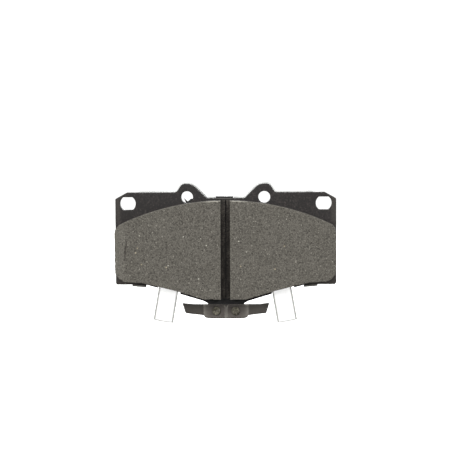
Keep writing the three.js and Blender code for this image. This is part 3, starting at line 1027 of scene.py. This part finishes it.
def release_liner(name, finish):
    """One paper strip, the glued part and the tab, its long edges curled away from the pad."""
    along, across = strip_frame(name)
    nodes = [f"release_liner_{name}", f"pull_tab_{name}"]
    points = [Vector(v.co) / MM for node in nodes for v in frame["nodes"][node].data.vertices]
    from_end = [p.dot(along) for p in points]
    beside = [p.dot(across) for p in points]
    first, last = min(from_end), max(from_end)
    centre, half = (min(beside) + max(beside)) / 2, (max(beside) - min(beside)) / 2
    front, back = min(p.y for p in points), max(p.y for p in points)
    hinge = Vector(JOINTS[f"tab_fold_{name}"]["pos_m"])
    fold = (hinge / MM).dot(along)

    turns = [math.pi / 2 * (2 * k / LINER_COLUMNS - 1) for k in range(LINER_COLUMNS + 1)]
    shares = [math.sin(turn) for turn in turns]
    # painted shade along the long edges
    shade_start, shade_full = 1 - EDGE_SHADE / half, 1 - EDGE_SHADE / half * 0.6
    bm = bmesh.new()
    edge = bm.verts.layers.float.new("edge")
    rings = []
    for s in liner_stations(first, last, fold):
        free = 1 - smoothstep(first, fold, s)
        # painted shade at the free end
        end_shade = END_SHADE * smoothstep(1.0, 0.5, s - first)
        loop = []
        for face, tone, row in ((front, 0, shares), (back, BACK_TONE, shares[::-1])):
            for share in row:
                curl = EDGE_CURL * smoothstep(1 - CURL_WIDTH / half, 1, abs(share)) ** 2
                bow = END_BOW * (1 - share * share) * max(0, 1 - (s - first) / END_BOW_LENGTH)
                at = along * (s - bow * 0.6) + across * (centre + half * share)
                vert = bm.verts.new((at.x, face + curl + TAB_SWEEP * free * free, at.z))
                vert[edge] = max(smoothstep(shade_start, shade_full, abs(share)), end_shade, tone)
                loop.append(vert)
        rings.append(loop)
    for one, two in zip(rings, rings[1:]):
        bridge(bm, one, two)
    for loop in (rings[0], rings[-1]):
        for i in range(LINER_COLUMNS):
            bm.faces.new((loop[i], loop[i + 1], loop[-i - 2], loop[-i - 1]))
    start = hinge + along * MM * TAB_BLEND
    end = hinge + along * MM * -TAB_BLEND
    piece(f"liner_sheet_{name}", bm, finish, ("pad", f"tab_{name}", start, end), nodes)


# ---------- shims ----------

LIP_WORN_EDGE = 0.5
LIP_WORN_END = 0.85
LIP_WEAR = 0.35
HOOK_WEAR_AND_LIGHT = 1
HOOK_BACK = -0.5


def coated_shim(finish):
    """The outer shim, grey on its hooks from wear and painted light, rubbed grey low on the lip over the
    plate's face, and darkened above that by painted shade.
    """
    plate_low, _ = box_mm("backing_plate")
    bm = softened("outer_shim", 0.12)
    lip_bottom = min(v.co.z for v in bm.verts if v.co.y < plate_low.y)
    for height in (LIP_WORN_EDGE, LIP_WORN_END):
        lip = [f for f in bm.faces if all(v.co.y < plate_low.y for v in f.verts)]
        edges = list(dict.fromkeys(e for f in lip for e in f.edges))
        verts = list(dict.fromkeys(v for f in lip for v in f.verts))
        bmesh.ops.bisect_plane(bm, geom=lip + edges + verts,
                               plane_co=(0, 0, lip_bottom + height), plane_no=(0, 0, 1))
    wear_and_painted_light = bm.verts.layers.float.new("wear_and_painted_light")
    shade = bm.verts.layers.float.new("shade")
    for vert in bm.verts:
        if vert.co.y < plate_low.y:
            # the lip: rubbed grey low down, painted shade above
            low_on_lip = smoothstep(LIP_WORN_END, LIP_WORN_EDGE, vert.co.z - lip_bottom)
            vert[wear_and_painted_light] = LIP_WEAR * low_on_lip
            vert[shade] = 1 - low_on_lip
        elif vert.co.y < HOOK_BACK and vert.co.z < 0:
            # wear and painted light on the hooks, which lie in the pad's shadow
            vert[wear_and_painted_light] = HOOK_WEAR_AND_LIGHT
    piece("shim_coated", bm, finish, "pad", ["outer_shim"])


# ---------- a torn flake of coating in one hump hole ----------

# (x, z) from the middle of the hole, anticlockwise: the foot, the torn upper edge, the left edge
FLAKE = [
    (1.2, -4.2), (4.2, -3.2), (4.4, -1.2), (3.3, -1.35), (2.5, -1.0), (1.75, -1.15),
    (1.2, -1.7), (0.35, -2.35), (-0.1, -2.45), (-0.75, -1.7), (-1.35, -1.25), (-1.75, -0.8),
    (-1.9, -0.95), (-1.6, -1.6), (-1.3, -2.2), (-1.05, -2.9), (-0.6, -4.0),
]
FLAKE_EDGE = 0.04
FLAKE_DEPTHS = (0.42, 0.36, 0.2, 0.14)
EAR_START = 40


def coating_flake(finish):
    """The flake hangs from the outer shim's rim and shows through the left hump's hole."""
    holes = face_outlines("backing_plate", 0)[1:]
    middles = [sum(hole, Vector((0, 0))) / len(hole) for hole in holes]
    centre = max((m for m in middles if -EAR_START < m.x < 0), key=lambda m: m.y)
    outline = [centre + Vector(point) for point in FLAKE]
    if area(outline) < 0:
        outline.reverse()
    _, high = box_mm("outer_shim")
    depths = zip((FLAKE_EDGE, 0, 0, FLAKE_EDGE), FLAKE_DEPTHS)
    bm = plate_mesh([outline], [(step_in, high.y - depth) for step_in, depth in depths])
    piece("coating_flake", bm, finish, "pad", [])


# ---------- everything together ----------

def layer(name, node, radius, finish):
    """A piece that keeps its CAD node's shape, with its edges rounded."""
    piece(name, softened(node, radius), finish, "pad", [node])


def build():
    friction = friction_material()
    underlayer = underlayer_material()
    paper = liner_paper()
    glue = adhesive()
    leaf = spring_steel()
    zinc = rivet_zinc()
    steel = coated_steel()
    coating = black_coating()
    backing_plate(steel)
    layer("shim_bright", "inner_shim", 0.08, bright_steel())
    coated_shim(coating)
    layer("shim_rubber", "shim_rubber_layer", 0.12, rubber())
    coating_flake(coating)
    for name, side in SIDES:
        friction_block(name, side, friction)
        layer(f"underlayer_bed_{name}", f"underlayer_{name}", 0.12, underlayer)
        layer(f"adhesive_film_{name}", f"adhesive_strip_{name}", 0.06, glue)
        release_liner(name, paper)
        wear_leaf(name, side, leaf)
        rivet(name, zinc)


# ---------- studio ----------

# lengths in metres, apart from the sensor's in millimetres
FLOOR_GAP = 0.022
FLOOR_RADIUS = 8
SENSOR_WIDTH = 36
CAMERA_AZIMUTH = math.radians(1.5)
CAMERA_ELEVATION = math.radians(3)
CAMERA_ROLL = math.radians(0.27)
CAMERA_DISTANCE = 1.2
VIEW_WIDTH = 0.2493
AIM = Vector((-0.0004, -0.006, -0.012))
SKY_DARK_BELOW = -0.5
SKY_BRIGHT_ABOVE = -0.12
SKY_DARK = 0.12
SKY_BRIGHT = 1.2


def floor():
    """A pale floor below the hanging pull tabs, which neither lights the pad nor shows in it."""
    bm = bmesh.new()
    bmesh.ops.create_circle(bm, cap_ends=True, segments=96, radius=FLOOR_RADIUS)
    mesh = bpy.data.meshes.new("floor")
    bm.to_mesh(mesh)
    bm.free()
    made = bpy.data.objects.new("floor", mesh)
    made.location = (0, 0, cad_low.z - FLOOR_GAP)
    finish = Finish("floor_paper", Roughness=0.9, Specular_IOR_Level=0.1)
    finish.feed("Base Color", finish.mix(finish.noise(400, 2), srgb(240, 240, 239), srgb(243, 243, 242)))
    mesh.materials.append(finish.material)
    bpy.context.scene.collection.objects.link(made)
    made.visible_diffuse = False
    made.visible_glossy = False


def softbox(name, place, size, power):
    """A rectangular studio light that faces the pad."""
    light = bpy.data.lights.new(name, "AREA")
    light.shape = "RECTANGLE"
    light.size, light.size_y = size
    light.energy = power
    made = bpy.data.objects.new(name, light)
    made.location = place
    made.rotation_mode = "QUATERNION"
    made.rotation_quaternion = (AIM - Vector(place)).to_track_quat("-Z", "Y")
    made.visible_camera = False
    bpy.context.scene.collection.objects.link(made)


def sky():
    """A white studio: bright all round and above, darker well below the horizon."""
    world = bpy.data.worlds.new("studio")
    world.use_nodes = True
    tree = world.node_tree
    background = tree.nodes["Background"]
    where = tree.nodes.new("ShaderNodeTexCoord")
    split = tree.nodes.new("ShaderNodeSeparateXYZ")
    fade = tree.nodes.new("ShaderNodeMapRange")
    fade.interpolation_type = "SMOOTHSTEP"
    fade.inputs["From Min"].default_value = SKY_DARK_BELOW
    fade.inputs["From Max"].default_value = SKY_BRIGHT_ABOVE
    fade.inputs["To Min"].default_value = SKY_DARK
    fade.inputs["To Max"].default_value = SKY_BRIGHT
    tree.links.new(where.outputs["Generated"], split.inputs[0])
    tree.links.new(split.outputs["Z"], fade.inputs["Value"])
    tree.links.new(fade.outputs[0], background.inputs["Strength"])
    background.inputs["Color"].default_value = (1, 1, 1, 1)
    bpy.context.scene.world = world


def camera():
    data = bpy.data.cameras.new("camera")
    data.sensor_width = SENSOR_WIDTH
    data.lens = SENSOR_WIDTH / 2 / (VIEW_WIDTH / 2 / CAMERA_DISTANCE)
    data.clip_start = 0.01
    made = bpy.data.objects.new("camera", data)
    level = math.cos(CAMERA_ELEVATION)
    back = Vector((math.sin(CAMERA_AZIMUTH) * level, -math.cos(CAMERA_AZIMUTH) * level,
                   math.sin(CAMERA_ELEVATION)))
    made.location = AIM + back * CAMERA_DISTANCE
    made.rotation_mode = "QUATERNION"
    made.rotation_quaternion = (-back).to_track_quat("-Z", "Y") @ Quaternion((0, 0, 1), -CAMERA_ROLL)
    bpy.context.scene.collection.objects.link(made)
    bpy.context.scene.camera = made


build()
floor()
sky()
softbox("top_light", (0.0, -0.15, 1.1), (1.2, 1.0), 18)
softbox("front_light", (-0.1, -1.3, 0.2), (1.4, 0.25), 13)
softbox("back_light", (0.3, 1.1, 0.55), (0.9, 0.7), 12)
camera()
bpy.context.scene.view_settings.view_transform = "Standard"
